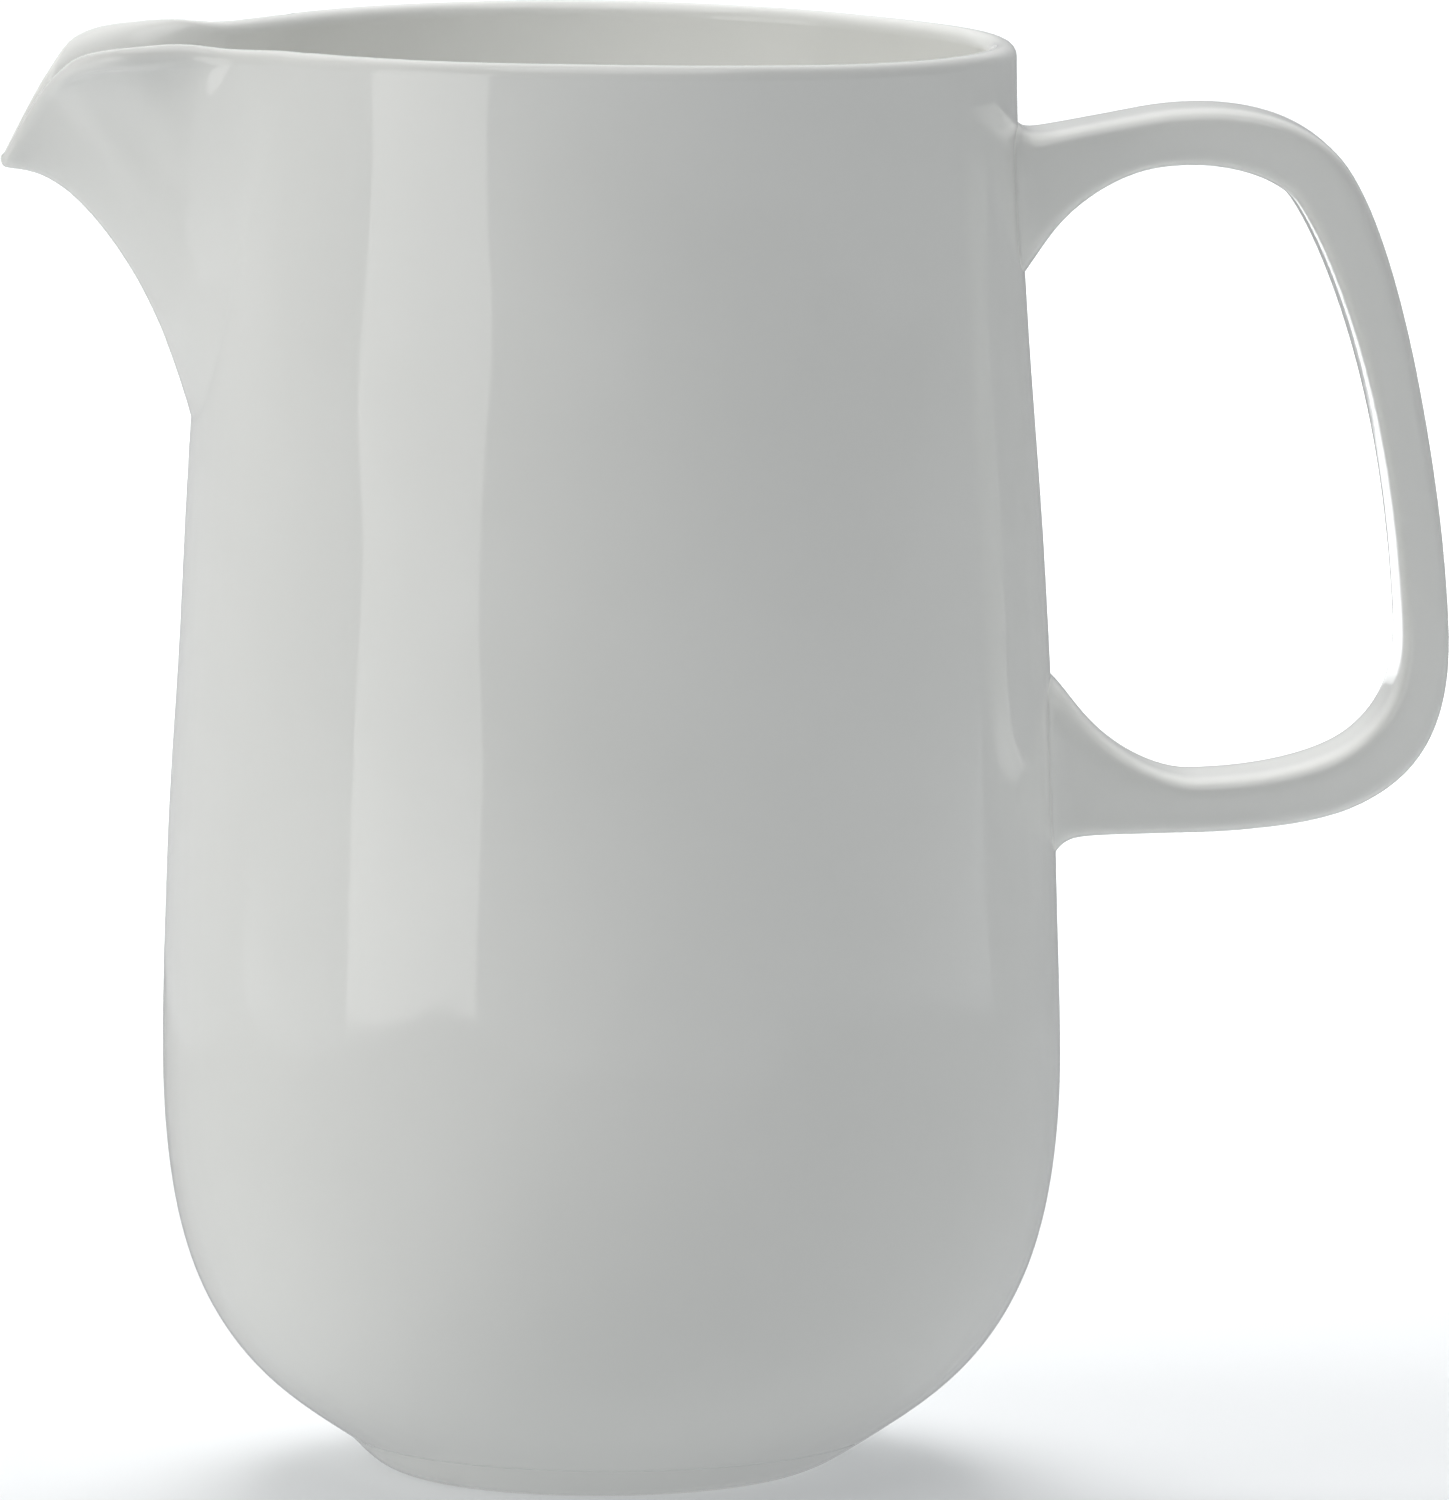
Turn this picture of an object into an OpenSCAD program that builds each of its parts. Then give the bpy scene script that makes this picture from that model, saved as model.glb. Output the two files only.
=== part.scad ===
// Lidless porcelain coffee pot: a round-shouldered jug with a beak spout, an
// unglazed foot ring and a looped strap handle held by two slip joints.
//
// The origin is the centre of the foot ring's resting face. +Z points up,
// the spout points to -X and the handle to +X. Millimetres throughout.

/* [Body] */
// height of the rim above the table
pot_h = 180; // [160:1:200]
// outside radius at the rim
rim_r = 50.5; // [44:0.5:54]
// largest outside radius, at the belly
belly_r = 56; // [50:0.5:62]
// height of the widest point of the belly
belly_z = 52; // [44:1:60]
// outside radius of the crease between belly and foot ring
crease_r = 33; // [30:0.5:36]
// thickness of the porcelain wall
wall = 3.5; // [2.5:0.25:4.5]
// thickness of the floor inside the foot ring
floor_t = 5; // [4:0.5:7]

/* [Foot ring] */
// height of the foot ring, from the table to the crease
foot_h = 4.2; // [3:0.2:6]
// outer radius of the unglazed resting face
rest_outer_r = 27.5; // [25:0.5:30]
// inner radius of the unglazed resting face
rest_inner_r = 24.5; // [21:0.5:26]
// radius of the recess under the floor, where it meets the floor
recess_r = 22; // [19:0.5:24]

/* [Spout] */
// reach of the spout from the axis of the pot, short of the lip's rounding
spout_reach = 74.5; // [70:0.5:80]
// how far the spout tip droops below the rim
tip_drop = 16.5; // [12:0.5:20]
// half width of the spout, outside its lips
spout_half_w = 19.5; // [16:0.5:23]
// how far below the rim the spout leaves the wall
spout_depth = 50; // [42:1:52]
// half of the angle of wall that the spout takes up
spout_half_angle = 38; // [34:1:42]

/* [Handle] */
// thickness of the handle strap
strap_t = 6.8; // [5.5:0.1:8]
// width of the handle strap
strap_w = 17.5; // [14:0.5:20]
// height of the handle's upper root on the wall
upper_root_z = 160.5; // [155:0.5:164]
// height of the handle's lower root on the wall
lower_root_z = 89; // [85:0.5:93]

/* [Hidden] */
// Sill of the window in the wall that the spout fills, a little below the
// point where the spout leaves the wall.
sill_drop = 4;
window_z = pot_h - spout_depth - sill_drop;
inner_floor_z = foot_h + floor_t;
round_fn = 96;

// The rim's rounding, and the steps used to draw curves. An odd number of lip
// steps gives a spout strip an even number of points.
lip_r = wall / 2;
lip_steps = 7;
wall_steps = 26;
belly_steps = 20;
floor_steps = 16;

// Centre line of the strap from its upper end to its lower end, as [x, z]
// curves that run on from one another.
strap_start = [61, 165.4];
strap_end = [62, 84.8];
strap_path = [
    [strap_start, [68, 167.6], [80.5, 170], [88.3, 161]],
    [[88.3, 161], [94.2, 154.3], [101.1, 128.8], [101.1, 105.2]],
    [[101.1, 105.2], [101.1, 99.8], [99, 93], [95.8, 89.6]],
    [[95.8, 89.6], [89.6, 83.1], [73, 83.2], strap_end],
];
strap_steps = 12;
strap_roundness = 0.57;
section_steps = 28;

// Pads where the joints meet the wall: half height and half width.
upper_pad = [9, 10.5];
lower_pad = [12.5, 11];
joint_steps = 8;
// How late the joints widen into their pads; higher is later.
joint_flare = 2.2;

// The outer wall from the rim to the belly, and from the belly to the crease.
wall_curve = [
    [rim_r, pot_h],
    [rim_r + 0.7, pot_h - 40],
    [belly_r, belly_z + 37],
    [belly_r, belly_z],
];
belly_curve = [
    [belly_r, belly_z],
    [belly_r, belly_z - 34.5],
    [crease_r + 9.7, foot_h + 6.6],
    [crease_r, foot_h],
];
// The inside of the belly, down to the flat part of the floor.
floor_curve = [
    [belly_r - wall, belly_z],
    [belly_r - wall, belly_z - 32],
    [crease_r + 10, inner_floor_z + 0.5],
    [crease_r - 8, inner_floor_z],
];

// ---- Curves ----

// A point on a cubic Bezier curve.
function bezier(c, t) =
    pow(1 - t, 3) * c[0] + 3 * pow(1 - t, 2) * t * c[1]
    + 3 * (1 - t) * t * t * c[2] + pow(t, 3) * c[3];

function bezier_points(c, steps) = [for (i = [0:steps]) bezier(c, i / steps)];

// The same list without its first item.
function rest_of(list) = [for (i = [1:len(list) - 1]) list[i]];

function unit(v) = v / norm(v);

// How far down the wall curve a height lies, found by halving.
function wall_t(z, low = 0, high = 1, rounds = 18) =
    let (middle = (low + high) / 2)
    rounds == 0 ? middle
    : bezier(wall_curve, middle)[1] > z ? wall_t(z, middle, high, rounds - 1)
    : wall_t(z, low, middle, rounds - 1);

// Outside radius of the upper wall at a height.
function wall_radius(z) = bezier(wall_curve, wall_t(z))[0];

// ---- Lofted solids ----

// Joins a row of closed loops, all with the same even number of points, into
// a solid. Each end is closed by a ladder of faces across its loop.
module loft(loops) {
    n = len(loops[0]);
    last = (len(loops) - 1) * n;
    half = n / 2;
    sides = [
        for (i = [0:len(loops) - 2])
            for (j = [0:n - 1])
                let (k = (j + 1) % n, a = i * n, b = a + n)
                for (face = [[a + j, b + j, b + k], [a + j, b + k, a + k]])
                    face
    ];
    first_cap = [
        for (j = [0:half - 2])
            for (face = [
                [j, j + 1, n - 2 - j],
                [j, n - 2 - j, n - 1 - j],
            ])
                face
    ];
    last_cap = [for (face = first_cap) [for (k = [2:-1:0]) face[k] + last]];
    polyhedron(
        points = [for (loop = loops) for (point = loop) point],
        faces = concat(sides, first_cap, last_cap)
    );
}

// ---- Body ----

// Half circle over the rim, from the outside to the inside.
function rim_round() = [
    for (i = [1:lip_steps - 1])
        let (a = 180 * i / lip_steps)
        [rim_r - lip_r + lip_r * cos(a), pot_h - lip_r + lip_r * sin(a)]
];

// Outer wall from just under the rim's rounding down to the belly.
function outer_wall() = [
    for (i = [0:wall_steps])
        let (z = pot_h - lip_r - i * (pot_h - lip_r - belly_z) / wall_steps)
        [wall_radius(z), z]
];

function inner_wall() = [for (p = outer_wall()) [p[0] - wall, p[1]]];

// The spout's share of the wall, as a wedge around the axis.
module spout_wedge() {
    reach = 2 * belly_r;
    edge = [reach * cos(spout_half_angle), reach * sin(spout_half_angle)];
    translate([0, 0, window_z])
        linear_extrude(pot_h)
            polygon([[0, 0], [-edge[0], edge[1]], [-edge[0], -edge[1]]]);
}

module body() {
    wall_out = outer_wall();
    wall_in = inner_wall();
    section = concat(
        [for (i = [wall_steps:-1:0]) wall_out[i]],
        rim_round(),
        wall_in,
        rest_of(bezier_points(floor_curve, floor_steps)),
        [[0, inner_floor_z], [0, foot_h]],
        [for (i = [belly_steps:-1:1]) bezier(belly_curve, i / belly_steps)]
    );
    color([0.93, 0.93, 0.91])
        difference() {
            rotate_extrude($fn = round_fn)
                polygon(section);
            spout_wedge();
        }
}

// ---- Foot ring ----

module foot_ring() {
    outer = [
        [crease_r, foot_h],
        [crease_r - 1.6, foot_h - 2.2],
        [rest_outer_r + 2.4, 0.7],
        [rest_outer_r, 0],
    ];
    inner = [
        [rest_inner_r, 0],
        [rest_inner_r - 1.2, 0.3],
        [recess_r + 0.3, 1.6],
        [recess_r, foot_h],
    ];
    steps = 6;
    color([0.87, 0.85, 0.8])
        rotate_extrude($fn = round_fn)
            polygon(concat(bezier_points(outer, steps), bezier_points(inner, steps)));
}

// ---- Spout ----

// The spout is drawn as upright strips side by side. A strip's place u runs
// from 0 on the keel to 1 at the edge of the wedge; side is -1 or 1.
spout_columns = 16;
plain_rows = 5;
beak_rows = 12;

// Where the strip leaves the wall: angle from the keel, and height.
seam_curve = [
    [0, pot_h - spout_depth],
    [16, pot_h - spout_depth],
    [20, pot_h - 34],
    [spout_half_angle, pot_h - 6],
];
// The outside of the lip as [reach, half width, height]: first round the
// blunt nose of the beak, then along its flank back to the wall.
nose_curve = [
    [spout_reach, 0, pot_h - tip_drop],
    [spout_reach - 2, 9, pot_h - 5],
    [spout_reach - 6.5, spout_half_w - 1, pot_h - 1],
    [spout_reach - 14, spout_half_w, pot_h - 2.2],
];
rim_edge = [
    rim_r * cos(spout_half_angle),
    rim_r * sin(spout_half_angle),
    pot_h - lip_r,
];
flank_curve = [
    [spout_reach - 14, spout_half_w, pot_h - 2.2],
    [spout_reach - 22.5, spout_half_w, pot_h - 3.2],
    [rim_edge[0] + 5, rim_edge[1] - 7, pot_h - lip_r],
    rim_edge,
];
// Share of the strips that make up the nose.
nose_share = 0.5;
// The keel leans out by this much for each millimetre it rises from the seam,
// and its first stretch is this much longer than on the flank.
keel_lean = 0.32;
keel_stretch = 4;
// The keel reaches the tip nearly level: the run and rise of its last stretch.
tip_run = 14;
tip_rise = 1.5;
// Step along a strip that is short enough to give its direction.
strip_step = 0.01;

function seam_point(u) =
    let (
        s = bezier(seam_curve, u),
        r = wall_radius(s[1])
    )
    [r * cos(s[0]), r * sin(s[0]), s[1]];

function lip_point(u) =
    u < nose_share ? bezier(nose_curve, u / nose_share)
    : bezier(flank_curve, (u - nose_share) / (1 - nose_share));

// The strip's curve from the seam to the lip.
function strip_curve(u) =
    let (
        foot = seam_point(u),
        lip = lip_point(u),
        keel = pow(1 - u, 2),
        rise = lip[2] - foot[2],
        leave = [keel_lean * keel, 0, 1] * (rise / 3 + keel_stretch * keel),
        arrive = [tip_run * keel, 0, rise / 3 * (1 - keel) + tip_rise * keel]
    )
    [foot, foot + leave, lip - arrive, lip];

// Outside point: v runs from -1 at the window's sill over 0 at the seam to
// 1 at the lip.
function strip_point(u, v) =
    let (
        foot = seam_point(u),
        z = window_z + (v + 1) * (foot[2] - window_z),
        angle = bezier(seam_curve, u)[0],
        r = wall_radius(z)
    )
    v < 0 ? [r * cos(angle), r * sin(angle), z]
    : bezier(strip_curve(u), v);

// Outward direction, square to the surface; at the wedge's edge it is level
// and radial, so that the spout meets the body face to face.
function strip_normal(u, v) =
    let (
        angle = bezier(seam_curve, u)[0],
        radial = [cos(angle), sin(angle), 0],
        u0 = max(u - strip_step, 0),
        u1 = min(u + strip_step, 1),
        v0 = min(v, 1 - strip_step),
        across = u0 == 0 ? [0, 1, 0] : strip_point(u1, v0) - strip_point(u0, v0),
        along = strip_point(u, v0 + strip_step) - strip_point(u, v0)
    )
    v < 0 || u == 1 ? radial : unit(cross(across, along));

// One strip as a closed loop: up the outside, over the lip, down the inside.
function strip_loop(u, side) =
    let (
        rows = concat(
            [for (i = [0:plain_rows - 1]) i / plain_rows - 1],
            [for (i = [0:beak_rows]) i / beak_rows]
        ),
        outside = [for (v = rows) strip_point(u, v)],
        normals = [for (v = rows) strip_normal(u, v)],
        top = len(rows) - 1,
        up = u == 1 ? [0, 0, 1] : unit(outside[top] - strip_point(u, 1 - 3 * strip_step)),
        lip = [
            for (i = [1:lip_steps - 1])
                let (a = 180 * i / lip_steps)
                outside[top] + lip_r * ((cos(a) - 1) * normals[top] + sin(a) * up)
        ],
        inside = [for (i = [top:-1:0]) outside[i] - wall * normals[i]]
    )
    [for (p = concat(outside, lip, inside)) [-p[0], side * p[1], p[2]]];

module spout() {
    color([0.93, 0.93, 0.91])
        loft([
            for (j = [-spout_columns:spout_columns])
                strip_loop(abs(j) / spout_columns, j < 0 ? 1 : -1)
        ]);
}

// ---- Handle ----

// Rounded strap section: c is its centre, across its half thickness as
// [x, z], and half_w its half width.
function strap_section(c, across, half_w) = [
    for (i = [0:section_steps - 1])
        let (
            a = 360 * (i + 0.5) / section_steps,
            p = sign(cos(a)) * pow(abs(cos(a)), strap_roundness),
            q = sign(sin(a)) * pow(abs(sin(a)), strap_roundness)
        )
        [c[0] + across[0] * p, half_w * q, c[1] + across[1] * p]
];

// Half thickness of the strap as a vector square to the centre line.
function strap_across(curve, t) =
    let (
        d = 0.01,
        along = bezier(curve, min(t + d, 1)) - bezier(curve, max(t - d, 0))
    )
    unit([-along[1], along[0]]) * strap_t / 2;

module handle() {
    stations = [
        for (curve = strap_path)
            for (i = [curve == strap_path[0] ? 0 : 1:strap_steps])
                strap_section(
                    bezier(curve, i / strap_steps),
                    strap_across(curve, i / strap_steps),
                    strap_w / 2
                )
    ];
    color([0.93, 0.93, 0.91])
        loft(stations);
}

// Slip joint between an end of the strap and the wall. It widens towards
// the pad in an even fillet and is cut to the wall's outside.
module slip_joint(end, across, root_z, pad) {
    root = [wall_radius(root_z) - wall, root_z];
    flip = across[1] < 0 ? -1 : 1;
    sections = [
        for (i = [0:joint_steps])
            let (
                t = i / joint_steps,
                grow = pow(t, joint_flare),
                half = across * (1 - grow) + [0, flip * pad[0]] * grow,
                half_w = strap_w / 2 * (1 - grow) + pad[1] * grow
            )
            strap_section(end + (root - end) * t, half, half_w)
    ];
    color([0.9, 0.9, 0.88])
        difference() {
            loft(sections);
            rotate_extrude($fn = round_fn)
                polygon(concat([[0, pot_h - lip_r]], outer_wall(), [[0, belly_z]]));
        }
}

module upper_handle_joint() {
    slip_joint(strap_start, strap_across(strap_path[0], 0), upper_root_z, upper_pad);
}

module lower_handle_joint() {
    slip_joint(strap_end, strap_across(strap_path[3], 1), lower_root_z, lower_pad);
}

body();
spout();
foot_ring();
handle();
upper_handle_joint();
lower_handle_joint();
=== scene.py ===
"""A lidless porcelain coffee pot with a beak spout, a looped strap handle and a foot ring.

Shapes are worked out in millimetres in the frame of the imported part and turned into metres
when a mesh is made: +Z is up, the spout points to -X and the handle to +X.
"""

import math

import bpy
import numpy as np
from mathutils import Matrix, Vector


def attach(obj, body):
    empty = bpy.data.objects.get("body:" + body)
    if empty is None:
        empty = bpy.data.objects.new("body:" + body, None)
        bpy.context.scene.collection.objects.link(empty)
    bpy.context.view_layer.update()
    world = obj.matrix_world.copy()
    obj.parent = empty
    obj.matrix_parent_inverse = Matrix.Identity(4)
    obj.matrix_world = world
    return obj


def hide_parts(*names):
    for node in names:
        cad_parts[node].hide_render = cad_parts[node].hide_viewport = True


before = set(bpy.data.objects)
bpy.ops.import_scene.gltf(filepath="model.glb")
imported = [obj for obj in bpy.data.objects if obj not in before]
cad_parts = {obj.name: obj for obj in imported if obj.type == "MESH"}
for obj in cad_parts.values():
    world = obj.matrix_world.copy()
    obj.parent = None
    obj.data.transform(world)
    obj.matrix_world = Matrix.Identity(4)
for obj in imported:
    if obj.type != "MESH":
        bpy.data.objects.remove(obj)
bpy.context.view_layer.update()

MM = 0.001

# ---- Sizes of the pot, in millimetres ----

POT_H = 180.0
WALL = 3.5
TIP_WALL = 2.1
LIP_R = WALL / 2
RIM_R = 50.5
BELLY_R, BELLY_Z = 56.2, 52.0
CREASE_R, CREASE_Z = 33.2, 4.2
FLOOR_Z = 9.2

# Outside of the wall from rim to belly, and of the belly from there to the crease.
WALL_CURVE = np.array([[RIM_R, POT_H], [51.2, 140.0], [BELLY_R, 89.3], [BELLY_R, BELLY_Z]])
BELLY_CURVE = np.array([[BELLY_R, BELLY_Z], [BELLY_R, 17.4], [42.9, 10.8], [CREASE_R, CREASE_Z]])
# Inside of the belly down to the edge of the flat floor, and the rings of the floor.
FLOOR_CURVE = np.array([[52.6, BELLY_Z], [52.6, 20.0], [43.0, 9.7], [25.0, FLOOR_Z]])
FLOOR_RINGS = (18.0, 10.0, 3.0)

# The pot is hand finished: the rim dips toward the handle, the wall leans that way at
# mid-height, and the foot sits a little toward the spout.
RIM_DIP, DIP_FROM_X, DIP_TO_X, DIP_FROM_Z = 1.45, -12.0, 62.0, 110.0
WALL_LEAN, LEAN_Z, LEAN_SPREAD = 0.4, 112.0, 28.0
FOOT_LEAN = 1.3
# Low waves of the wall: height, waves round the pot, turn per millimetre of height, start.
WALL_WAVES = [(0.07, 6, 0.07, 0.4), (0.04, 11, -0.13, 2.0), (0.03, 4, 0.19, 4.1)]
# The waves are absent below the first height and full above the second.
WAVES_FROM_Z, WAVES_FULL_Z = 8.0, 30.0

# The spout leaves the wall along this line: degrees from the keel, and height.
SPOUT_ANGLE = 37.0
SEAM_CURVE = np.array([[0.0, 132.2], [20.0, 131.2], [19.0, 150.0], [SPOUT_ANGLE, 177.0]])
SILL_Z = 126.0
# Outer edge of the lip as reach, half width and height: drooping tip, shoulder, then flank.
SHOULDER_START = [69.3, 6.8, 172.7]
FLANK_START = [59.0, 17.8, 177.1]
RIM_EDGE_X = RIM_R * math.cos(math.radians(SPOUT_ANGLE))
RIM_EDGE_Y = RIM_R * math.sin(math.radians(SPOUT_ANGLE))
RIM_EDGE_Z = 178.25
TIP_CURVE = np.array([[74.2, 0.0, 163.2], [74.2, 2.6, 163.7], [71.3, 3.8, 169.8], SHOULDER_START])
SHOULDER_CURVE = np.array([SHOULDER_START, [67.0, 11.8, 176.1], [65.2, 16.8, 177.0], FLANK_START])
FLANK_CURVE = np.array(
    [
        FLANK_START,
        [50.0, 19.0, 177.6],
        [RIM_EDGE_X + 4.2, RIM_EDGE_Y - 5.6, RIM_EDGE_Z],
        [RIM_EDGE_X, RIM_EDGE_Y, RIM_EDGE_Z],
    ]
)
# Share of the lip's half outline that the tip and the shoulder take.
TIP_SHARE, SHOULDER_SHARE = 0.3, 0.3
# How far the strips head out and up as they leave the wall and as they arrive at the lip,
# as shares of the way between the two: along the keel, and where the flank ends.
KEEL_LEAVE, KEEL_ARRIVE = (0.172, 0.43), (0.525, 0.032)
FLANK_LEAVE, FLANK_ARRIVE = (0.01, 0.44), (0.06, 0.05)
# The keel's way of heading fades out over this share of the half outline.
KEEL_SHARE = 0.35
# The sides draw in toward the keel, by the first at the seam and by the second below the
# lip, where the lip then flares out. Each pinch is a bump over the half outline: a larger
# focus makes it narrower, and a skew below 1 moves it toward the keel.
SEAM_PINCH, LIP_PINCH = 3.3, 7.5
SEAM_PINCH_SKEW, SEAM_PINCH_FOCUS, LIP_PINCH_FOCUS = 0.36, 5, 9
# The wall thins out toward the tip between these reaches and between these heights.
THIN_FROM_X, THIN_TO_X = 42.0, 72.0
THIN_FROM_Z, THIN_TO_Z = 135.0, 165.0


# ---- Curves ----


def bezier(points, t):
    """Points of a cubic Bezier curve at the places t, one row each."""
    t = np.atleast_1d(np.asarray(t, float))[:, None]
    a, b, c, d = (np.asarray(p, float) for p in points)
    return (1 - t) ** 3 * a + 3 * (1 - t) ** 2 * t * b + 3 * (1 - t) * t**2 * c + t**3 * d


def smoothstep(x, low, high):
    """A smooth rise from 0 at the low limit to 1 at the high one."""
    t = np.clip((np.asarray(x, float) - low) / (high - low), 0, 1)
    return t * t * (3 - 2 * t)


NO_LENGTH = 1e-12


def unit(v):
    """Vectors scaled to length 1; one without length stays as it is."""
    return v / np.maximum(np.linalg.norm(v, axis=-1, keepdims=True), NO_LENGTH)


WALL_TABLE_POINTS = 400
wall_table = bezier(WALL_CURVE, np.linspace(0, 1, WALL_TABLE_POINTS))[::-1]


def wall_radius(z):
    """Outside radius of the upper wall at a height."""
    return np.interp(z, wall_table[:, 1], wall_table[:, 0])


def unevenness(points):
    """Height of the low waves at points of the wall, none at the foot."""
    angle = np.arctan2(points[..., 1], points[..., 0])
    z = points[..., 2]
    waves = sum(h * np.sin(n * angle + turn * z + start) for h, n, turn, start in WALL_WAVES)
    return waves * smoothstep(z, WAVES_FROM_Z, WAVES_FULL_Z)


def settle(points):
    """Lean the wall toward the handle and let the rim dip there."""
    x, y, z = points[..., 0], points[..., 1], points[..., 2]
    lean = WALL_LEAN * np.exp(-(((z - LEAN_Z) / LEAN_SPREAD) ** 2))
    dip = RIM_DIP * smoothstep(x, DIP_FROM_X, DIP_TO_X) * smoothstep(z, DIP_FROM_Z, POT_H)
    return np.stack([x + lean, y, z - dip], -1)


# ---- Meshes ----

SHARP_ANGLE = math.radians(50)


def new_mesh_object(name, points_mm, faces, material, smooth=True):
    mesh = bpy.data.meshes.new(name)
    mesh.from_pydata((np.asarray(points_mm) * MM).tolist(), [], faces)
    mesh.validate()
    mesh.update()
    if smooth:
        mesh.shade_smooth()
        mesh.set_sharp_from_angle(angle=SHARP_ANGLE)
    mesh.materials.append(material)
    obj = bpy.data.objects.new(name, mesh)
    bpy.context.scene.collection.objects.link(obj)
    return obj


def ring_faces(columns, rows):
    """Quads of a grid of closed rings, where point (column, row) has index column * rows + row."""
    faces = []
    for c in range(columns):
        here, beside = c * rows, (c + 1) % columns * rows
        for r in range(rows - 1):
            faces.append((here + r, beside + r, beside + r + 1, here + r + 1))
    return faces


# ---- The jug ----

SPOUT_COLUMNS = 44
PLAIN_COLUMNS = 84
BELLY_ROWS = 44
LOW_ROWS = 28
SILL_ROWS = 16
BEAK_ROWS = 40
LIP_ROWS = 10
FLOOR_ROWS = 36


def lip_outline(u):
    """Outer edge of the lip for places u from the tip, 0, to the end of the flank, 1."""
    shoulder_start = TIP_SHARE
    flank_start = TIP_SHARE + SHOULDER_SHARE
    tip = bezier(TIP_CURVE, np.clip(u / TIP_SHARE, 0, 1))
    shoulder = bezier(SHOULDER_CURVE, np.clip((u - shoulder_start) / SHOULDER_SHARE, 0, 1))
    flank = bezier(FLANK_CURVE, np.clip((u - flank_start) / (1 - flank_start), 0, 1))
    beyond_tip = (u > shoulder_start)[:, None]
    beyond_shoulder = (u > flank_start)[:, None]
    return np.where(beyond_shoulder, flank, np.where(beyond_tip, shoulder, tip))


def strip_controls(u, foot):
    """Control points of the strips that run from the seam to the lip, one set for each u."""
    lip = lip_outline(u)
    way = lip - foot
    keel = (1 - np.clip(u / KEEL_SHARE, 0, 1)) ** 2

    def heading(at_keel, at_flank):
        out, up = (k * keel + f * (1 - keel) for k, f in zip(at_keel, at_flank))
        return way * np.stack([out, out, up], 1)

    leave = heading(KEEL_LEAVE, FLANK_LEAVE)
    leave[:, 1] -= SEAM_PINCH * np.sin(math.pi * u**SEAM_PINCH_SKEW) ** SEAM_PINCH_FOCUS
    arrive = heading(KEEL_ARRIVE, FLANK_ARRIVE)
    arrive[:, 1] += LIP_PINCH * np.sin(math.pi * u) ** LIP_PINCH_FOCUS
    return foot, foot + leave, lip - arrive, lip


def half_outside():
    """Outside of one half of the jug, from the keel round to the handle, the spout toward +X."""
    u_spout = np.linspace(0, 1, SPOUT_COLUMNS + 1)
    seam = bezier(SEAM_CURVE, u_spout)
    plain = np.linspace(SPOUT_ANGLE, 180, PLAIN_COLUMNS + 1)[1:]
    angle = np.radians(np.concatenate([seam[:, 0], plain]))
    seam_z = np.concatenate([seam[:, 1], np.full(PLAIN_COLUMNS, seam[-1, 1])])
    across = np.stack([np.cos(angle), np.sin(angle)], 1)

    rows = []
    for r, z in bezier(BELLY_CURVE, np.linspace(1, 0, BELLY_ROWS + 1)):
        rows.append(np.column_stack([across * r, np.full(len(angle), z)]))
    for z in np.linspace(BELLY_Z, SILL_Z, LOW_ROWS + 1)[1:]:
        rows.append(np.column_stack([across * wall_radius(z), np.full(len(angle), z)]))
    for v in np.linspace(0, 1, SILL_ROWS + 1)[1:]:
        z = SILL_Z + v * (seam_z - SILL_Z)
        rows.append(np.column_stack([across * wall_radius(z)[:, None], z]))

    controls = strip_controls(u_spout, rows[-1][: SPOUT_COLUMNS + 1])
    for v in np.linspace(0, 1, BEAK_ROWS + 1)[1:]:
        z = seam_z + v * (POT_H - LIP_R - seam_z)
        row = np.column_stack([across * wall_radius(z)[:, None], z])
        row[: SPOUT_COLUMNS + 1] = bezier(controls, v)
        rows.append(row)
    return np.stack(rows, 1)


def mirror_halves(half):
    """The whole ring of columns from one half, turned so that the spout points to -X.

    The keel's column and the handle's lie in the mirror plane and aren't repeated.
    """
    whole = np.concatenate([half, half[-2:0:-1] * [1, -1, 1]], 0)
    return whole * [-1, 1, 1]


def grid_normals(grid):
    """Outward directions of a ring of columns."""
    across = np.roll(grid, -1, 0) - np.roll(grid, 1, 0)
    along = np.gradient(grid, axis=1)
    return unit(np.cross(along, across))


def wall_thickness(points):
    """Thickness of the wall at its outside points: it thins out toward the tip of the spout."""
    outward = smoothstep(-points[..., 0], THIN_FROM_X, THIN_TO_X)
    upward = smoothstep(points[..., 2], THIN_FROM_Z, THIN_TO_Z)
    return (WALL + (TIP_WALL - WALL) * (outward * upward))[..., None]


def lip_rings(edge, below, normal, thickness):
    """Rings over the rounded lip, from the outside of the wall to its inside."""
    up = unit(edge - below)
    up = unit(up - (up * normal).sum(1, keepdims=True) * normal)
    lip_r = thickness / 2
    lip_foot = edge + (LIP_R - lip_r) * up
    return [
        lip_foot + lip_r * ((math.cos(a) - 1) * normal + math.sin(a) * up)
        for a in np.linspace(0, math.pi, LIP_ROWS + 1)[1:-1]
    ]


def floor_rings(direction):
    """Level rings down the inside of the belly and in over the floor."""
    heights = [*bezier(FLOOR_CURVE, np.linspace(0, 1, FLOOR_ROWS + 1))[1:]]
    heights += [(r, FLOOR_Z) for r in FLOOR_RINGS]
    return [np.column_stack([direction * r, np.full(len(direction), z)]) for r, z in heights]


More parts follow.
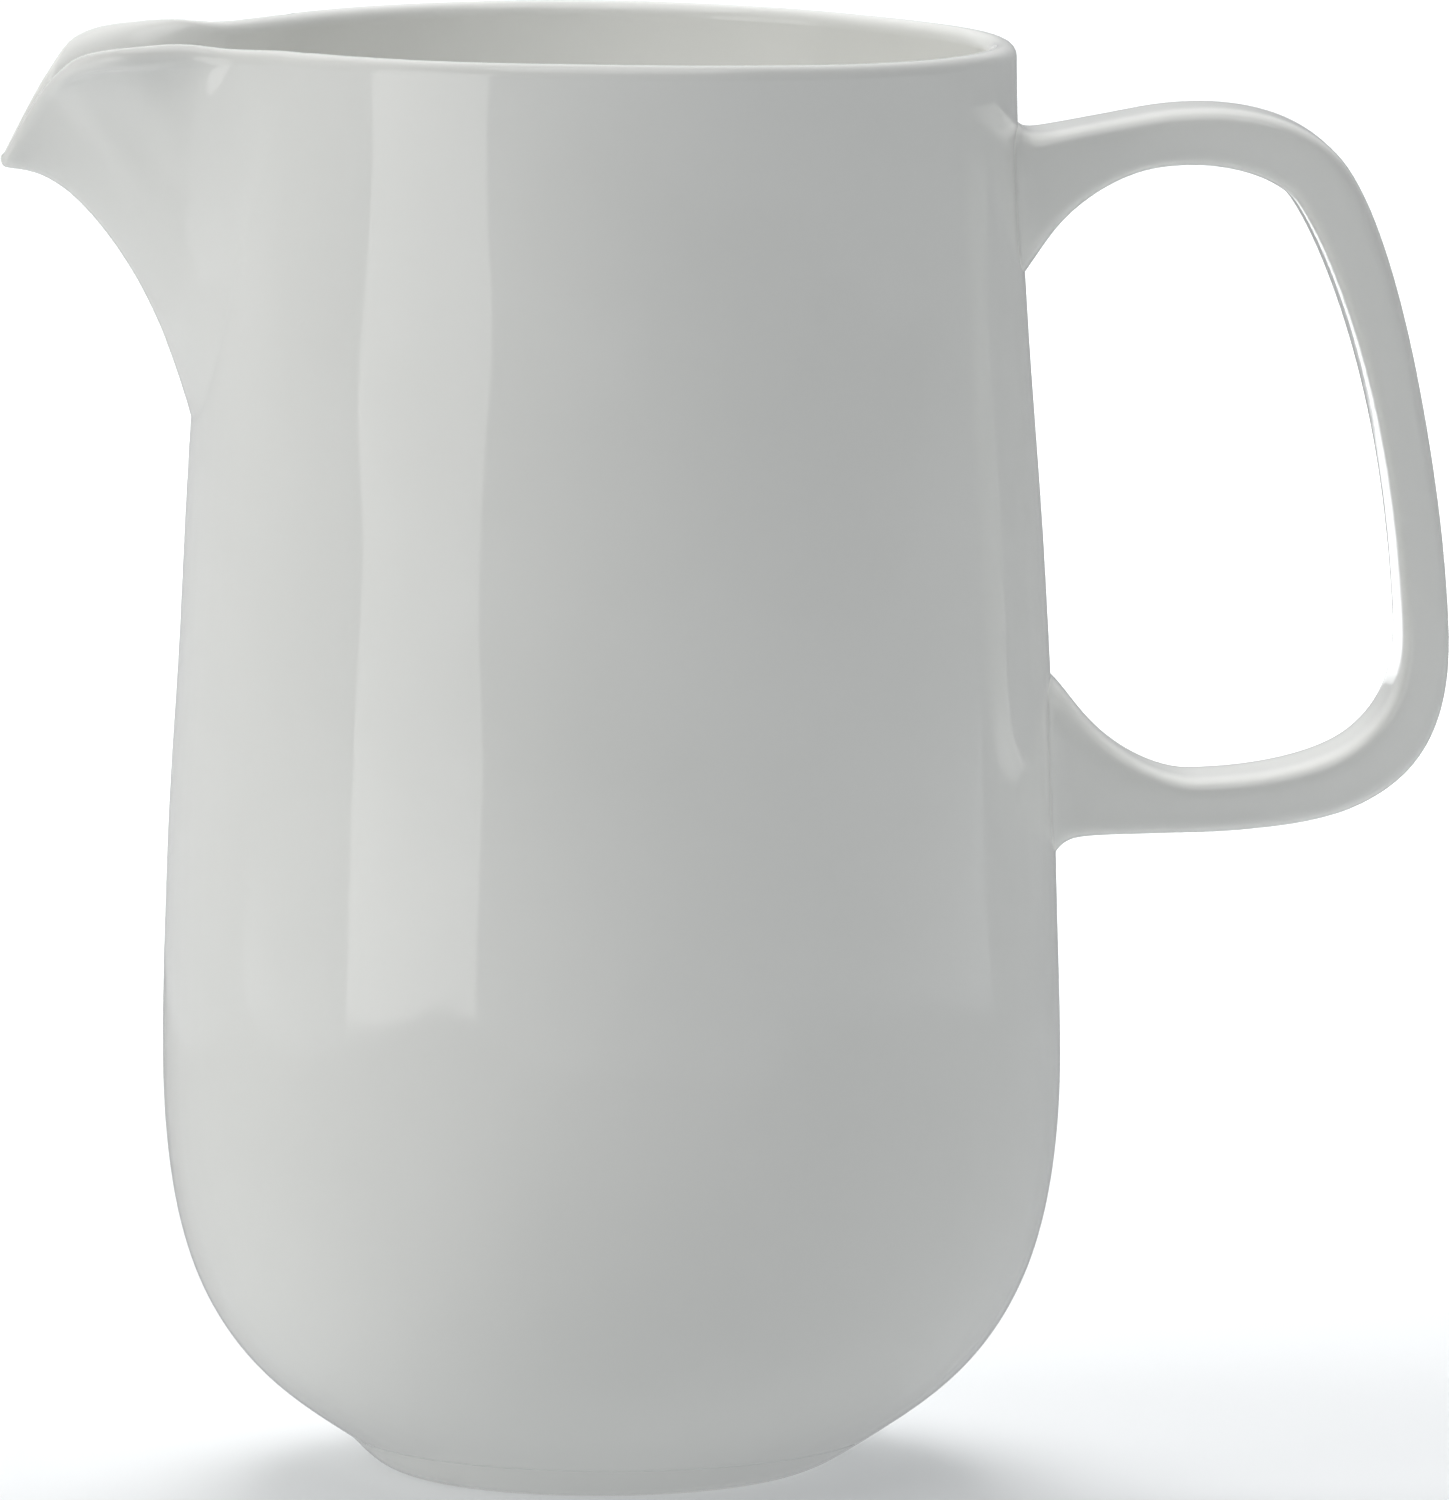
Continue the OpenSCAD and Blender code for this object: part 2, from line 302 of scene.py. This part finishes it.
def jug_points():
    """Grid of the jug from the crease up the outside, over the lip and down the inside."""
    outside = settle(mirror_halves(half_outside()))
    outside = outside + grid_normals(outside) * unevenness(outside)[..., None]
    normals = grid_normals(outside)
    thickness = wall_thickness(outside)
    lip = lip_rings(outside[:, -1], outside[:, -2], normals[:, -1], thickness[:, -1])
    upper = outside[:, BELLY_ROWS:] - (thickness * normals)[:, BELLY_ROWS:]
    floor = floor_rings(unit(outside[:, 0] * [1, 1, 0])[:, :2])
    return np.concatenate([outside, np.stack(lip, 1), upper[:, ::-1], np.stack(floor, 1)], 1)


def make_jug(material):
    grid = jug_points()
    columns, rows = grid.shape[:2]
    faces = ring_faces(columns, rows)
    # A fan closes the floor inside, and another the underside, which the foot ring surrounds.
    floor_centre = columns * rows
    under_centre = floor_centre + 1
    points = np.vstack([grid.reshape(-1, 3), [[0, 0, FLOOR_Z], [0, 0, CREASE_Z]]])
    for c in range(columns):
        here, beside = c * rows, (c + 1) % columns * rows
        faces.append((here + rows - 1, beside + rows - 1, floor_centre))
        faces.append((beside, here, under_centre))
    return new_mesh_object("jug", points, faces, material)


# ---- Foot ring ----

# The face that the pot stands on lies between these radii.
REST_OUTER_R, REST_INNER_R = 26.0, 23.4
RECESS_R = 21.5
# Outer flank from the crease to the resting face, and inner flank up into the recess.
FOOT_OUTER_CURVE = [[CREASE_R, CREASE_Z], [30.8, 2.4], [28.6, 0.3], [REST_OUTER_R, 0.0]]
FOOT_INNER_CURVE = [[REST_INNER_R, 0.0], [22.8, 0.1], [21.8, 1.6], [RECESS_R, CREASE_Z]]
FOOT_COLUMNS = 192
FOOT_OUTER_ROWS, FOOT_INNER_ROWS = 15, 11
# The glaze is wiped off below this height, where the foot stands.
BARE_H = 0.12


def foot_profile():
    """Radius and height along the ring, from the recess down and up to the crease."""
    outer = bezier(FOOT_OUTER_CURVE, np.linspace(0, 1, FOOT_OUTER_ROWS))
    inner = bezier(FOOT_INNER_CURVE, np.linspace(0, 1, FOOT_INNER_ROWS))
    middle = [[(REST_OUTER_R + REST_INNER_R) / 2, 0.0]]
    return np.vstack([outer, middle, inner])[::-1]


def make_foot_ring(glaze, bare):
    turn = np.linspace(0, 2 * math.pi, FOOT_COLUMNS + 1)[:-1]
    rings = []
    for r, z in foot_profile():
        x = -np.cos(turn) * r - FOOT_LEAN * (1 - z / CREASE_Z)
        rings.append(np.column_stack([x, np.sin(turn) * r, np.full(len(turn), z)]))
    grid = np.stack(rings, 1)
    columns, rows = grid.shape[:2]
    faces = ring_faces(columns, rows)
    for c in range(columns):
        here, beside = c * rows, (c + 1) % columns * rows
        faces.append((here + rows - 1, beside + rows - 1, beside, here))
    ring = new_mesh_object("foot_ring", grid.reshape(-1, 3), faces, glaze)
    ring.data.materials.append(bare)
    for face in ring.data.polygons:
        if face.center.z < BARE_H * MM:
            face.material_index = 1
    return ring


# ---- Handle ----

# Middle line of the strap as X and Z, from beside the upper root to beside the lower one.
STRAP_PATH = np.array(
    [
        [[66.6, 166.3], [74.6, 167.8], [84.4, 166.5], [88.5, 160.6]],
        [[88.5, 160.6], [94.2, 152.3], [100.4, 129.2], [101.5, 105.6]],
        [[101.5, 105.6], [102.0, 95.0], [98.2, 89.1], [91.3, 86.1]],
        [[91.3, 86.1], [86.5, 84.0], [79.0, 83.2], [73.0, 83.1]],
    ]
)
# Thickness where the stretches of the middle line meet. Along each stretch it changes
# over this share, and then it stays.
STRAP_T = [7.0, 7.8, 6.0, 7.4, 6.9]
T_CHANGE_SHARE = 0.75
STRAP_W = 17.5
STRETCH_STEPS = 28
SECTION_POINTS = 64
# 1 makes the section an ellipse, and less makes it squarer.
SECTION_ROUNDNESS = 0.4
# The strap's direction is taken over this much of a stretch to either side.
RUN_STEP = 0.01

ROOT_DEPTH = 1.5
ROOT_HALF_W = 10.5
# Heights of each root's footprint on the wall, top and bottom, and how late its top,
# bottom and sides flare out on the way there.
UPPER_ROOT = {"top": 166.9, "bottom": 151.6, "flare": (8.0, 1.9, 3.0)}
LOWER_ROOT = {"top": 98.0, "bottom": 78.9, "flare": (1.8, 12.0, 3.0)}
# Each root swells a little short of the wall, by this share of its flare, and a small
# fillet runs all round its footprint. The later they come, the nearer the wall they start.
KNUCKLE, KNUCKLE_LATE = 0.13, 5
FILLET, FILLET_LATE = 1.5, 14
ROOT_STEPS = 26
# The rings of a root crowd together toward the wall: 1 would space them evenly.
ROOT_CROWDING = 1.6


def section_shape():
    """Rounded strap outline: p runs across the thickness and q across the width, -1 to 1."""
    a = 2 * math.pi * (np.arange(SECTION_POINTS) + 0.5) / SECTION_POINTS
    p = np.sign(np.cos(a)) * np.abs(np.cos(a)) ** SECTION_ROUNDNESS
    q = np.sign(np.sin(a)) * np.abs(np.sin(a)) ** SECTION_ROUNDNESS
    return p, q


def wall_point(y, z):
    """Points of the wall on the handle's side."""
    return np.column_stack([np.sqrt(wall_radius(z) ** 2 - y**2), y, z])


def strap_section(curve, t, thickness):
    """One section of the strap across its middle line, and the direction the line runs there."""
    centre = bezier(curve, t)[0]
    after = bezier(curve, min(t + RUN_STEP, 1))[0]
    before = bezier(curve, max(t - RUN_STEP, 0))[0]
    run = unit(after - before)
    p, q = section_shape()
    x = centre[0] - run[1] * p * thickness / 2
    z = centre[1] + run[0] * p * thickness / 2
    return np.column_stack([x, STRAP_W / 2 * q, z]), np.array([run[0], 0.0, run[1]])


def root_landing(section, run):
    """Where an end section of the strap would meet the wall if it ran straight on."""
    slope = run[2] / run[0]
    at_wall = wall_point(section[:, 1], section[:, 2])
    z = section[:, 2] + slope * (at_wall[:, 0] - section[:, 0])
    return wall_point(section[:, 1], z)


def root_rings(section, run, root):
    """Rings from an end section of the strap, along its direction, into its root in the wall."""
    p, q = section_shape()
    if section[np.argmax(p), 2] < section[np.argmin(p), 2]:
        p = -p
    landing = root_landing(section, run)
    middle = (root["top"] + root["bottom"]) / 2
    reach = (root["top"] - root["bottom"]) / 2
    spread = wall_point(ROOT_HALF_W * q, middle + reach * p) - landing
    fillet_way = np.column_stack([0 * p, q, p]) * FILLET
    late_top, late_bottom, late_side = root["flare"]
    rings = []
    for w in 1 - (1 - np.linspace(0, 1, ROOT_STEPS + 1)[1:]) ** ROOT_CROWDING:
        knuckle = 1 + KNUCKLE * math.sin(math.pi * w**KNUCKLE_LATE)
        up = knuckle * w ** np.where(p > 0, late_top, late_bottom)
        side = np.full(len(p), w**late_side)
        flare = spread * np.column_stack([side, side, up])
        rings.append(landing * w + section * (1 - w) + flare + fillet_way * w**FILLET_LATE)
    rings[-1] = wall_point(rings[-1][:, 1], rings[-1][:, 2])
    rings.append(rings[-1] - unit(rings[-1] * [1, 1, 0]) * ROOT_DEPTH)
    return rings


def make_handle(material):
    sections, runs = [], []
    for i, curve in enumerate(STRAP_PATH):
        first_step = 0 if i == 0 else 1
        for t in np.linspace(0, 1, STRETCH_STEPS + 1)[first_step:]:
            change = (STRAP_T[i + 1] - STRAP_T[i]) * smoothstep(t, 0, T_CHANGE_SHARE)
            section, run = strap_section(curve, t, STRAP_T[i] + change)
            sections.append(section)
            runs.append(run)
    upper = root_rings(sections[0], runs[0], UPPER_ROOT)
    lower = root_rings(sections[-1], runs[-1], LOWER_ROOT)
    grid = np.stack(upper[::-1] + sections + lower, 1)
    columns, rows = grid.shape[:2]
    faces = ring_faces(columns, rows)
    faces.append(tuple(c * rows for c in range(columns)))
    faces.append(tuple(c * rows + rows - 1 for c in range(columns - 1, -1, -1)))
    return new_mesh_object("handle", grid.reshape(-1, 3), faces, material)


# ---- Materials ----


def new_material(name):
    """A material, with its nodes, their links and its shader."""
    material = bpy.data.materials.new(name)
    material.use_nodes = True
    tree = material.node_tree
    return material, tree.nodes, tree.links, tree.nodes["Principled BSDF"]


def add_noise(nodes, links, where, scale, detail):
    """Noise that lies still on the object."""
    noise = nodes.new("ShaderNodeTexNoise")
    noise.inputs["Scale"].default_value = scale
    noise.inputs["Detail"].default_value = detail
    links.new(where.outputs["Object"], noise.inputs["Vector"])
    return noise


def tint_by_noise(nodes, links, noise, shader, stops):
    """Colour the shader by the noise; stops are two pairs of a place from 0 to 1 and a colour."""
    tint = nodes.new("ShaderNodeValToRGB")
    for element, (position, colour) in zip(tint.color_ramp.elements, stops):
        element.position = position
        element.color = colour
    links.new(noise.outputs["Fac"], tint.inputs["Fac"])
    links.new(tint.outputs["Color"], shader.inputs["Base Color"])


def glazed_porcelain():
    """Clear gloss over white, with faint clouds in colour and gloss and a slight ripple."""
    material, nodes, links, shader = new_material("glazed_porcelain")
    shader.inputs["IOR"].default_value = 1.52
    where = nodes.new("ShaderNodeTexCoord")

    cloud = add_noise(nodes, links, where, scale=28.0, detail=3.0)
    stops = [(0.3, (0.85, 0.855, 0.83, 1)), (0.7, (0.872, 0.874, 0.85, 1))]
    tint_by_noise(nodes, links, cloud, shader, stops)

    gloss = nodes.new("ShaderNodeMapRange")
    gloss.inputs["To Min"].default_value = 0.03
    gloss.inputs["To Max"].default_value = 0.09
    links.new(cloud.outputs["Fac"], gloss.inputs["Value"])
    links.new(gloss.outputs["Result"], shader.inputs["Roughness"])

    ripple = add_noise(nodes, links, where, scale=120.0, detail=1.5)
    bump = nodes.new("ShaderNodeBump")
    bump.inputs["Strength"].default_value = 0.35
    bump.inputs["Distance"].default_value = 0.00006
    links.new(ripple.outputs["Fac"], bump.inputs["Height"])
    links.new(bump.outputs["Normal"], shader.inputs["Normal"])
    return material


def bare_porcelain():
    """Matt unglazed porcelain with a fine grain."""
    material, nodes, links, shader = new_material("bare_porcelain")
    shader.inputs["Roughness"].default_value = 0.65
    where = nodes.new("ShaderNodeTexCoord")
    grain = add_noise(nodes, links, where, scale=900.0, detail=2.0)
    stops = [(0.0, (0.62, 0.6, 0.55, 1)), (1.0, (0.74, 0.72, 0.68, 1))]
    tint_by_noise(nodes, links, grain, shader, stops)
    return material


# The floor glows everywhere by the first, and by up to the second within this many metres
# of the pot's axis: a painted pool of light round the foot, which fills the pot's contact
# shadow on the floor and also lights the foot and the low belly from below.
FLOOR_GLOW, PAINTED_POOL_GLOW, PAINTED_POOL_R = 0.155, 0.37, 0.12


def floor_material():
    material, nodes, links, shader = new_material("studio_floor")
    shader.inputs["Base Color"].default_value = (0.6, 0.61, 0.62, 1)
    shader.inputs["Roughness"].default_value = 0.9
    shader.inputs["Specular IOR Level"].default_value = 0.1
    shader.inputs["Emission Color"].default_value = (0.97, 0.99, 1.0, 1)
    where = nodes.new("ShaderNodeTexCoord")
    spread = nodes.new("ShaderNodeMapping")
    spread.inputs["Scale"].default_value = (1 / PAINTED_POOL_R, 1 / PAINTED_POOL_R, 1 / PAINTED_POOL_R)
    links.new(where.outputs["Object"], spread.inputs["Vector"])
    # Painted pool of light: the floor glows brighter toward the pot's axis.
    painted_pool = nodes.new("ShaderNodeTexGradient")
    painted_pool.gradient_type = "QUADRATIC_SPHERE"
    links.new(spread.outputs["Vector"], painted_pool.inputs["Vector"])
    glow = nodes.new("ShaderNodeMapRange")
    glow.inputs["To Min"].default_value = FLOOR_GLOW
    glow.inputs["To Max"].default_value = PAINTED_POOL_GLOW
    links.new(painted_pool.outputs["Fac"], glow.inputs["Value"])
    links.new(glow.outputs["Result"], shader.inputs["Emission Strength"])
    return material


def card_material(name, tone):
    """A card that glows by its tone and reflects nothing itself."""
    material, _, _, shader = new_material(name)
    shader.inputs["Base Color"].default_value = (0, 0, 0, 1)
    shader.inputs["Specular IOR Level"].default_value = 0
    shader.inputs["Emission Color"].default_value = (0.96, 0.98, 1.0, 1)
    shader.inputs["Emission Strength"].default_value = tone
    return material


# ---- Studio, in metres ----

FLOOR_HALF_SIDE = 9.0
WORLD_COLOUR, WORLD_STRENGTH = (0.95, 0.98, 1, 1), 0.23
# The overhead light is a very wide sun that stands a little in front of the pot.
OVERHEAD_STRENGTH, OVERHEAD_SPREAD, OVERHEAD_TILT = 0.7, math.radians(50), math.radians(15)
# A small spot shines down into the mouth of the pot: its height in degrees, its distance
# and the radius of its pool of light.
INSIDE_ELEVATION, INSIDE_DISTANCE, INSIDE_POOL_R = 55, 0.9, 0.038
KEY_COLOUR = (1.0, 0.985, 0.94)
WINDOW_COLOUR = (1.0, 0.99, 0.96)
# The cards beside the pot stand this far away and this high, from the first azimuth to the
# second on either side. The other two stand far behind it and lie just above the floor.
CARD_DISTANCE, CARD_H = 0.5, 0.25
CARD_AZIMUTHS = (105, 172)
BACK_CARD_HALF_W, BACK_CARD_Y, BACK_CARD_H = 2.0, 3.2, 1.6
FLOOR_CARD_HALF_SIDE, FLOOR_CARD_Z = 0.5, 0.0003


def compass(azimuth, distance, height):
    """A place, from its azimuth in degrees: 0 is in front of the pot and 90 at its handle."""
    a = math.radians(azimuth)
    return (math.sin(a) * distance, -math.cos(a) * distance, height)


def direction_to(azimuth, elevation):
    """Direction from the pot to a place at an azimuth and an elevation in degrees."""
    a, e = math.radians(azimuth), math.radians(elevation)
    return Vector((math.sin(a) * math.cos(e), -math.cos(a) * math.cos(e), math.sin(e)))


def hang(name, data, place, rotation):
    """Put a light or the camera in its place."""
    hung = bpy.data.objects.new(name, data)
    hung.location = place
    hung.rotation_euler = rotation
    bpy.context.scene.collection.objects.link(hung)
    return hung


def area_light(name, place, aim, size, power, colour=(1, 1, 1)):
    """A rectangular light that faces its aim and that the camera doesn't see."""
    data = bpy.data.lights.new(name, "AREA")
    data.shape = "RECTANGLE"
    data.size, data.size_y = size
    data.energy = power
    data.color = colour
    shining = Vector(aim) - Vector(place)
    light = hang(name, data, place, shining.to_track_quat("-Z", "Y").to_euler())
    light.visible_camera = False
    return light


def add_sheet(name, corners, material):
    """A flat sheet between four corners, which isn't part of the pot."""
    sheet = new_mesh_object(name, np.array(corners) / MM, [(0, 1, 2, 3)], material, smooth=False)
    return sheet


def level_corners(half_side, height):
    """Corners of a level square round the pot's axis."""
    x0, x1 = -half_side, half_side
    return [(x0, x0, height), (x1, x0, height), (x1, x1, height), (x0, x1, height)]


def upright_corners(start, end, height):
    """Corners of an upright sheet that stands on the floor between two places."""
    (x0, y0, _), (x1, y1, _) = start, end
    return [(x0, y0, 0), (x1, y1, 0), (x1, y1, height), (x0, y0, height)]


def reflection_card(name, corners, tone):
    """A card that is seen only as a reflection in the glaze."""
    card = add_sheet(name, corners, card_material(name, tone))
    card.visible_camera = False
    card.visible_diffuse = False
    card.visible_shadow = False


def make_world():
    world = bpy.data.worlds.new("studio")
    bpy.context.scene.world = world
    world.use_nodes = True
    background = world.node_tree.nodes["Background"]
    background.inputs["Color"].default_value = WORLD_COLOUR
    background.inputs["Strength"].default_value = WORLD_STRENGTH


def make_overhead_light():
    sun = bpy.data.lights.new("overhead", "SUN")
    sun.angle = OVERHEAD_SPREAD
    sun.energy = OVERHEAD_STRENGTH
    hang("overhead", sun, (0, 0, 0), (OVERHEAD_TILT, 0, 0))


def make_inside_light():
    spot = bpy.data.lights.new("inside", "SPOT")
    spot.spot_size = 2 * math.atan(INSIDE_POOL_R / INSIDE_DISTANCE)
    spot.spot_blend = 0.5
    spot.shadow_soft_size = 0.01
    spot.energy = 7.2
    away = direction_to(0, INSIDE_ELEVATION)
    mouth = Vector((0, 0, POT_H * MM))
    hang("inside", spot, mouth + away * INSIDE_DISTANCE, away.to_track_quat("Z", "Y").to_euler())


def make_back_lights():
    """One light whitens the floor behind the pot, and one lights the pot's back."""
    behind = area_light("behind", place=(0, 1.5, 1.2), aim=(0, 1.8, 0), size=(0.8, 2.4), power=38)
    behind.visible_glossy = False
    back_place = compass(180, distance=1.3, height=0.8)
    back = area_light("back", place=back_place, aim=(0, 0, 0.16), size=(1.2, 0.6), power=7)
    back.visible_glossy = False


def make_key_light():
    """The main light, from the side of the spout, which shows as shading only."""
    key = area_light(
        "key",
        place=compass(-76, distance=1.6, height=0.9),
        aim=(0, 0, 0.1),
        size=(1.3, 1.0),
        power=9.3,
        colour=KEY_COLOUR,
    )
    key.visible_glossy = False


def make_window_light():
    """A window that shows as a reflection only, the upright bright band on the wall."""
    window = area_light(
        "window",
        place=compass(-54, distance=0.62, height=0.24),
        aim=(0, 0, 0.24),
        size=(0.4, 0.48),
        power=0.9,
        colour=WINDOW_COLOUR,
    )
    window.visible_diffuse = False


def make_reflection_cards():
    """Cards that give the glaze an even tone to reflect at its edges, where it mirrors most."""
    near, far = CARD_AZIMUTHS
    for name, side, tone in (("left_card", -1, 0.58), ("right_card", 1, 0.38)):
        start = compass(side * near, CARD_DISTANCE, 0)
        end = compass(side * far, CARD_DISTANCE, 0)
        reflection_card(name, upright_corners(start, end, CARD_H), tone)
    start, end = (-BACK_CARD_HALF_W, BACK_CARD_Y, 0), (BACK_CARD_HALF_W, BACK_CARD_Y, 0)
    reflection_card("back_card", upright_corners(start, end, BACK_CARD_H), tone=0.42)
    floor_corners = level_corners(FLOOR_CARD_HALF_SIDE, FLOOR_CARD_Z)
    reflection_card("floor_card", floor_corners, tone=0.42)


def make_studio():
    add_sheet("floor", level_corners(FLOOR_HALF_SIDE, 0), floor_material())
    make_world()
    make_overhead_light()
    make_back_lights()
    make_inside_light()
    make_key_light()
    make_window_light()
    make_reflection_cards()


# ---- Camera ----

CAMERA_AZIMUTH, CAMERA_ELEVATION = -3.5, 7.32
CAMERA_AIM = Vector((14.2, 0, 89.8)) * MM
CAMERA_DISTANCE = 1.982
SENSOR_MM, LENS_MM = 36, 393.9


def make_camera():
    data = bpy.data.cameras.new("camera")
    data.sensor_fit = "HORIZONTAL"
    data.sensor_width = SENSOR_MM
    data.lens = LENS_MM
    data.clip_end = 50
    back = direction_to(CAMERA_AZIMUTH, CAMERA_ELEVATION)
    place = CAMERA_AIM + back * CAMERA_DISTANCE
    camera = hang("camera", data, place, back.to_track_quat("Z", "Y").to_euler())
    bpy.context.scene.camera = camera


# ---- The scene ----

bpy.context.scene.view_settings.view_transform = "Standard"
glaze = glazed_porcelain()
bare = bare_porcelain()

jug = make_jug(glaze)
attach(jug, "root")
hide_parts("body", "spout")

foot = make_foot_ring(glaze, bare)
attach(foot, "root")
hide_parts("foot_ring")

handle = make_handle(glaze)
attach(handle, "root")
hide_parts("handle", "upper_handle_joint", "lower_handle_joint")

make_studio()
make_camera()
